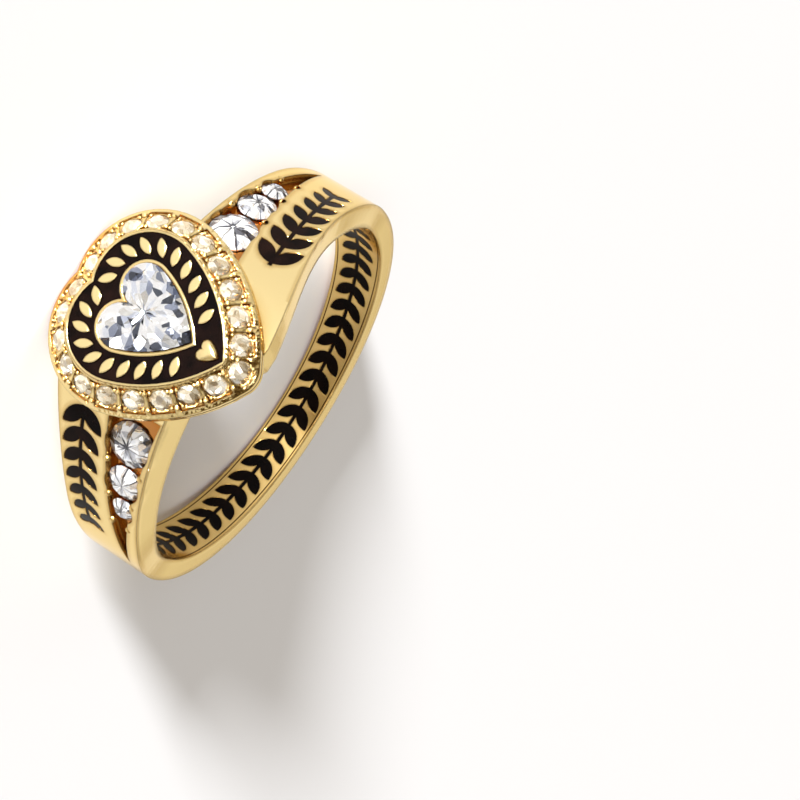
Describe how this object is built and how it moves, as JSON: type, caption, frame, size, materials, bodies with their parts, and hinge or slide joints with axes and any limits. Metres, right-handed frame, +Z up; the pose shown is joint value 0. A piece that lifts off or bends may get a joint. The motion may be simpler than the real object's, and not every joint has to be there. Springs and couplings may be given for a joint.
{
  "type": "class ring",
  "caption": "Gold class ring with a heart head, black enamel band round a heart stone, a stone halo and stone-set split shoulders.",
  "frame": {"origin": "middle of the footprint at floor level, the ring lying on its side", "axes": "+Z up, +Y from the back of the band toward the heart, +X across the ring; the finger hole leans a few degrees off +Z"},
  "size_m": [0.0194, 0.0228, 0.0089],
  "materials": {
    "gold": "polished",
    "black_enamel": "polished",
    "heart_stone": "polished",
    "shoulder_stone": "polished",
    "halo_stone": "polished"
  },
  "bodies": {
    "root": {"ring_casting": "gold", "heart_enamel": "black_enamel", "right_shoulder_enamel": "black_enamel", "left_shoulder_enamel": "black_enamel", "band_enamel": "black_enamel", "heart_stone": "heart_stone", "right_stone_1": "shoulder_stone", "right_stone_2": "shoulder_stone", "right_stone_3": "shoulder_stone", "left_stone_1": "shoulder_stone", "left_stone_2": "shoulder_stone", "left_stone_3": "shoulder_stone", "halo_stone_01": "halo_stone", "halo_stone_02": "halo_stone", "halo_stone_03": "halo_stone", "halo_stone_04": "halo_stone", "halo_stone_05": "halo_stone", "halo_stone_06": "halo_stone", "halo_stone_07": "halo_stone", "halo_stone_08": "halo_stone", "halo_stone_09": "halo_stone", "halo_stone_10": "halo_stone", "halo_stone_11": "halo_stone", "halo_stone_12": "halo_stone", "halo_stone_13": "halo_stone", "halo_stone_14": "halo_stone", "halo_stone_15": "halo_stone", "halo_stone_16": "halo_stone", "halo_stone_17": "halo_stone", "halo_stone_18": "halo_stone", "halo_stone_19": "halo_stone", "halo_stone_20": "halo_stone", "halo_stone_21": "halo_stone"}
  },
  "joints": []
}
